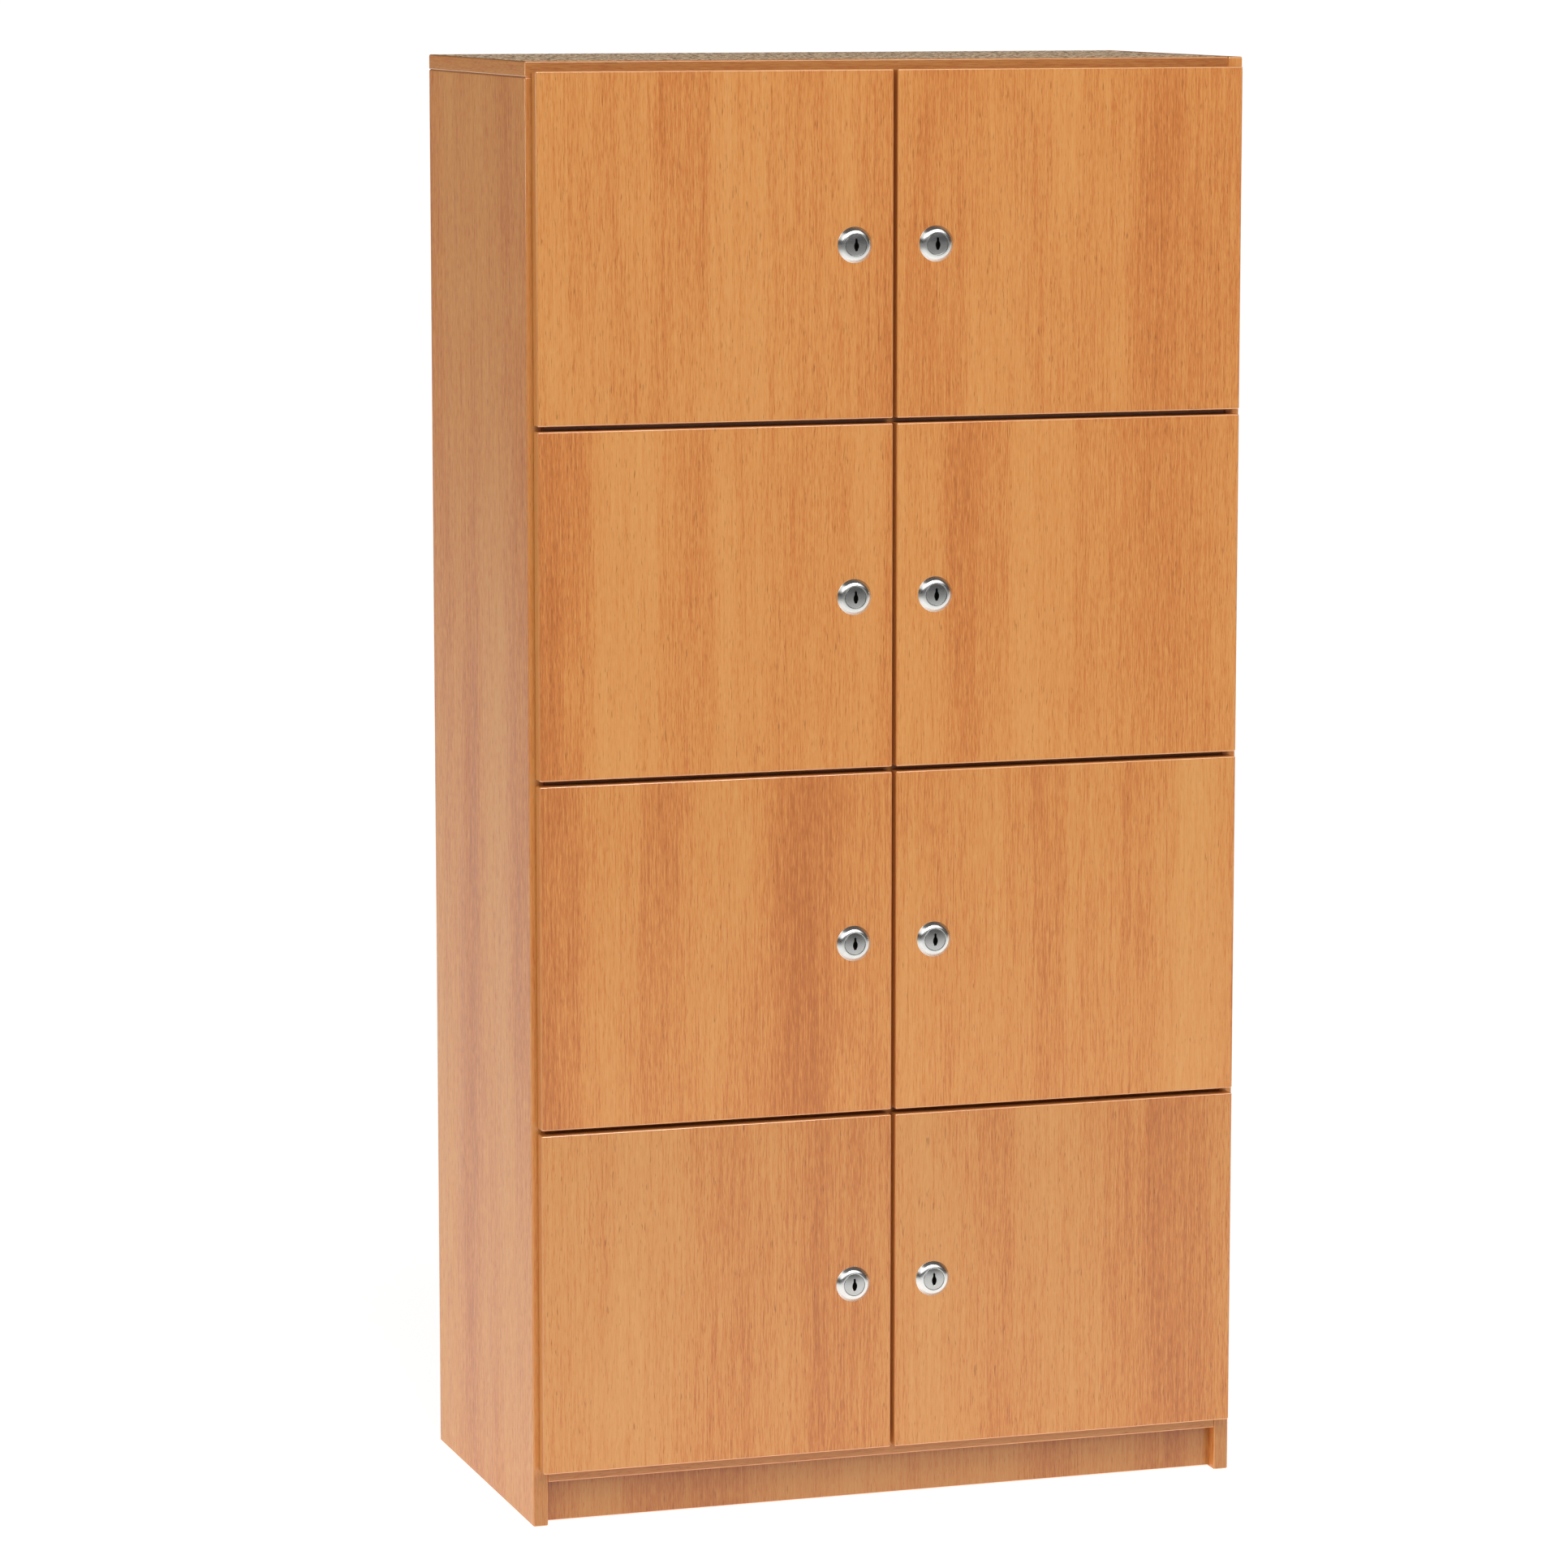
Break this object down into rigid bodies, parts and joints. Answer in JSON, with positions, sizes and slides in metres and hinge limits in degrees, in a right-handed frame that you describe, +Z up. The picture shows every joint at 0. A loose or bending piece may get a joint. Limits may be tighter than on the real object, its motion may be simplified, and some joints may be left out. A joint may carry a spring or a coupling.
{
  "type": "coin operated locker",
  "caption": "Free-standing wooden locker for bags and parcels: hinged doors in two columns over separate compartments, each closed by a coin deposit lock.",
  "frame": {"origin": "on the floor, at the centre of the whole object's box", "axes": "+X to the right seen from the front, +Y from the doors to the back, +Z up"},
  "size_m": [0.924, 0.481, 1.8],
  "materials": {
    "beech": "satin",
    "speckled_sheet": "matt",
    "back_board": "matt",
    "satin_chrome": "satin",
    "zinc": "satin"
  },
  "bodies": {
    "cabinet": {"left_side": "beech", "right_side": "beech", "top_panel": "beech", "top_sheet": "speckled_sheet", "bottom_panel": "beech", "plinth_board": "beech", "rear_plinth_board": "beech", "back_panel": "back_board", "centre_partition": "beech", "shelf_1": "beech", "shelf_2": "beech", "shelf_3": "beech", "hinge_arm_l1_upper": "zinc", "hinge_arm_l1_lower": "zinc", "hinge_arm_l2_upper": "zinc", "hinge_arm_l2_lower": "zinc", "hinge_arm_l3_upper": "zinc", "hinge_arm_l3_lower": "zinc", "hinge_arm_l4_upper": "zinc", "hinge_arm_l4_lower": "zinc", "hinge_arm_r1_upper": "zinc", "hinge_arm_r1_lower": "zinc", "hinge_arm_r2_upper": "zinc", "hinge_arm_r2_lower": "zinc", "hinge_arm_r3_upper": "zinc", "hinge_arm_r3_lower": "zinc", "hinge_arm_r4_upper": "zinc", "hinge_arm_r4_lower": "zinc"},
    "door_l1": {"door_l1": "beech", "lock_body_l1": "satin_chrome"},
    "lock_plug_l1": {"lock_plug_l1": "satin_chrome"},
    "lock_bolt_l1": {"lock_bolt_l1": "zinc"},
    "door_l2": {"door_l2": "beech", "lock_body_l2": "satin_chrome"},
    "lock_plug_l2": {"lock_plug_l2": "satin_chrome"},
    "lock_bolt_l2": {"lock_bolt_l2": "zinc"},
    "door_l3": {"door_l3": "beech", "lock_body_l3": "satin_chrome"},
    "lock_plug_l3": {"lock_plug_l3": "satin_chrome"},
    "lock_bolt_l3": {"lock_bolt_l3": "zinc"},
    "door_l4": {"door_l4": "beech", "lock_body_l4": "satin_chrome"},
    "lock_plug_l4": {"lock_plug_l4": "satin_chrome"},
    "lock_bolt_l4": {"lock_bolt_l4": "zinc"},
    "door_r1": {"door_r1": "beech", "lock_body_r1": "satin_chrome"},
    "lock_plug_r1": {"lock_plug_r1": "satin_chrome"},
    "lock_bolt_r1": {"lock_bolt_r1": "zinc"},
    "door_r2": {"door_r2": "beech", "lock_body_r2": "satin_chrome"},
    "lock_plug_r2": {"lock_plug_r2": "satin_chrome"},
    "lock_bolt_r2": {"lock_bolt_r2": "zinc"},
    "door_r3": {"door_r3": "beech", "lock_body_r3": "satin_chrome"},
    "lock_plug_r3": {"lock_plug_r3": "satin_chrome"},
    "lock_bolt_r3": {"lock_bolt_r3": "zinc"},
    "door_r4": {"door_r4": "beech", "lock_body_r4": "satin_chrome"},
    "lock_plug_r4": {"lock_plug_r4": "satin_chrome"},
    "lock_bolt_r4": {"lock_bolt_r4": "zinc"}
  },
  "joints": [
    {"name": "door_l1_swing", "type": "hinge", "parent": "cabinet", "child": "door_l1", "pos_m": [-0.45, -0.2245, 1.576], "axis": [0, 0, -1], "range_deg": [0, 95]},
    {"name": "lock_plug_l1_turn", "type": "hinge", "parent": "door_l1", "child": "lock_plug_l1", "pos_m": [-0.0525, -0.2405, 1.576], "axis": [0, 1, 0], "range_deg": [0, 90]},
    {"name": "lock_bolt_l1_slide", "type": "slide", "parent": "door_l1", "child": "lock_bolt_l1", "axis": [1, 0, 0], "range_m": [0, 0.0106]},
    {"name": "door_l2_swing", "type": "hinge", "parent": "cabinet", "child": "door_l2", "pos_m": [-0.45, -0.2245, 1.145], "axis": [0, 0, -1], "range_deg": [0, 95]},
    {"name": "lock_plug_l2_turn", "type": "hinge", "parent": "door_l2", "child": "lock_plug_l2", "pos_m": [-0.0525, -0.2405, 1.145], "axis": [0, 1, 0], "range_deg": [0, 90]},
    {"name": "lock_bolt_l2_slide", "type": "slide", "parent": "door_l2", "child": "lock_bolt_l2", "axis": [1, 0, 0], "range_m": [0, 0.0106]},
    {"name": "door_l3_swing", "type": "hinge", "parent": "cabinet", "child": "door_l3", "pos_m": [-0.45, -0.2245, 0.714], "axis": [0, 0, -1], "range_deg": [0, 95]},
    {"name": "lock_plug_l3_turn", "type": "hinge", "parent": "door_l3", "child": "lock_plug_l3", "pos_m": [-0.0525, -0.2405, 0.714], "axis": [0, 1, 0], "range_deg": [0, 90]},
    {"name": "lock_bolt_l3_slide", "type": "slide", "parent": "door_l3", "child": "lock_bolt_l3", "axis": [1, 0, 0], "range_m": [0, 0.0106]},
    {"name": "door_l4_swing", "type": "hinge", "parent": "cabinet", "child": "door_l4", "pos_m": [-0.45, -0.2245, 0.283], "axis": [0, 0, -1], "range_deg": [0, 95]},
    {"name": "lock_plug_l4_turn", "type": "hinge", "parent": "door_l4", "child": "lock_plug_l4", "pos_m": [-0.0525, -0.2405, 0.283], "axis": [0, 1, 0], "range_deg": [0, 90]},
    {"name": "lock_bolt_l4_slide", "type": "slide", "parent": "door_l4", "child": "lock_bolt_l4", "axis": [1, 0, 0], "range_m": [0, 0.0106]},
    {"name": "door_r1_swing", "type": "hinge", "parent": "cabinet", "child": "door_r1", "pos_m": [0.45, -0.2245, 1.576], "axis": [0, 0, 1], "range_deg": [0, 95]},
    {"name": "lock_plug_r1_turn", "type": "hinge", "parent": "door_r1", "child": "lock_plug_r1", "pos_m": [0.0525, -0.2405, 1.576], "axis": [0, -1, 0], "range_deg": [0, 90]},
    {"name": "lock_bolt_r1_slide", "type": "slide", "parent": "door_r1", "child": "lock_bolt_r1", "axis": [-1, 0, 0], "range_m": [0, 0.0106]},
    {"name": "door_r2_swing", "type": "hinge", "parent": "cabinet", "child": "door_r2", "pos_m": [0.45, -0.2245, 1.145], "axis": [0, 0, 1], "range_deg": [0, 95]},
    {"name": "lock_plug_r2_turn", "type": "hinge", "parent": "door_r2", "child": "lock_plug_r2", "pos_m": [0.0525, -0.2405, 1.145], "axis": [0, -1, 0], "range_deg": [0, 90]},
    {"name": "lock_bolt_r2_slide", "type": "slide", "parent": "door_r2", "child": "lock_bolt_r2", "axis": [-1, 0, 0], "range_m": [0, 0.0106]},
    {"name": "door_r3_swing", "type": "hinge", "parent": "cabinet", "child": "door_r3", "pos_m": [0.45, -0.2245, 0.714], "axis": [0, 0, 1], "range_deg": [0, 95]},
    {"name": "lock_plug_r3_turn", "type": "hinge", "parent": "door_r3", "child": "lock_plug_r3", "pos_m": [0.0525, -0.2405, 0.714], "axis": [0, -1, 0], "range_deg": [0, 90]},
    {"name": "lock_bolt_r3_slide", "type": "slide", "parent": "door_r3", "child": "lock_bolt_r3", "axis": [-1, 0, 0], "range_m": [0, 0.0106]},
    {"name": "door_r4_swing", "type": "hinge", "parent": "cabinet", "child": "door_r4", "pos_m": [0.45, -0.2245, 0.283], "axis": [0, 0, 1], "range_deg": [0, 95]},
    {"name": "lock_plug_r4_turn", "type": "hinge", "parent": "door_r4", "child": "lock_plug_r4", "pos_m": [0.0525, -0.2405, 0.283], "axis": [0, -1, 0], "range_deg": [0, 90]},
    {"name": "lock_bolt_r4_slide", "type": "slide", "parent": "door_r4", "child": "lock_bolt_r4", "axis": [-1, 0, 0], "range_m": [0, 0.0106]}
  ],
  "couplings": [
    {"joint": "lock_plug_l1_turn", "follows": "lock_bolt_l1_slide", "rad_per_m": 148.1},
    {"joint": "lock_plug_l2_turn", "follows": "lock_bolt_l2_slide", "rad_per_m": 148.1},
    {"joint": "lock_plug_l3_turn", "follows": "lock_bolt_l3_slide", "rad_per_m": 148.1},
    {"joint": "lock_plug_l4_turn", "follows": "lock_bolt_l4_slide", "rad_per_m": 148.1},
    {"joint": "lock_plug_r1_turn", "follows": "lock_bolt_r1_slide", "rad_per_m": 148.1},
    {"joint": "lock_plug_r2_turn", "follows": "lock_bolt_r2_slide", "rad_per_m": 148.1},
    {"joint": "lock_plug_r3_turn", "follows": "lock_bolt_r3_slide", "rad_per_m": 148.1},
    {"joint": "lock_plug_r4_turn", "follows": "lock_bolt_r4_slide", "rad_per_m": 148.1}
  ]
}
